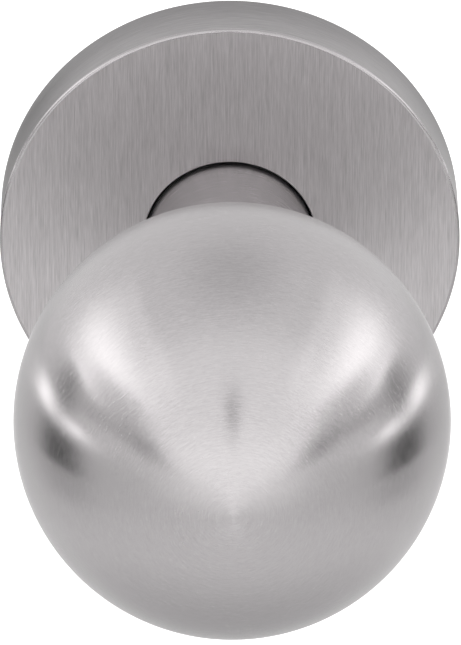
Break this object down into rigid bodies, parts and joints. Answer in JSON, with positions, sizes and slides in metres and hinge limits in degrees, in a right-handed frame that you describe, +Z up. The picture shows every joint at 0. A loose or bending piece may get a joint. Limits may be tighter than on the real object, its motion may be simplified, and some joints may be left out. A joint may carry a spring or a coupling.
{
  "type": "door knob",
  "caption": "Hollow satin steel ball knob on a plain round neck and flat round rose, with a sprung bearing, a square spindle and concealed door fixings.",
  "frame": {"origin": "where the knob's axis meets the door face, on the back plane of the rose", "axes": "+Z up the door, +Y into the door along the knob's axis, so the knob stands out along -Y; +X to the right of a person facing the knob"},
  "size_m": [0.055, 0.1334, 0.055],
  "materials": {
    "satin_stainless": "satin brushed stainless steel",
    "zinc_casting": "as-cast zinc alloy",
    "black_nylon": "moulded",
    "plated_steel": "bright zinc plate",
    "spring_steel": "drawn spring wire",
    "black_steel": "black oxide"
  },
  "bodies": {
    "rose": {"sub_rose": "zinc_casting", "bearing_bush": "black_nylon", "threaded_lugs": "plated_steel", "wood_screws": "plated_steel", "spring_cover_plate": "plated_steel", "cover_plate_screws": "plated_steel", "return_spring": "spring_steel", "cover_snap_ring": "spring_steel"},
    "cover": {"rose_cover": "satin_stainless"},
    "knob": {"ball_front_shell": "satin_stainless", "ball_rear_shell": "satin_stainless", "ball_joint_ring": "plated_steel", "neck_sleeve": "satin_stainless", "neck_core": "plated_steel", "anchor_plate": "plated_steel", "anchor_washer": "spring_steel", "anchor_nut": "plated_steel", "spindle": "plated_steel", "spindle_grub_screw": "black_steel", "retaining_ring": "spring_steel", "thrust_washer": "plated_steel", "spring_driver": "plated_steel"}
  },
  "joints": [
    {"name": "knob_turn", "type": "hinge", "parent": "rose", "child": "knob", "pos_m": [0, 0, 0], "axis": [0, -1, 0], "range_deg": [-45, 45], "stiffness_Nm_per_rad": 0.15, "deforming": ["return_spring"]},
    {"name": "cover_slide", "type": "slide", "parent": "rose", "child": "cover", "axis": [0, -1, 0], "range_m": [0, 0.025]}
  ]
}
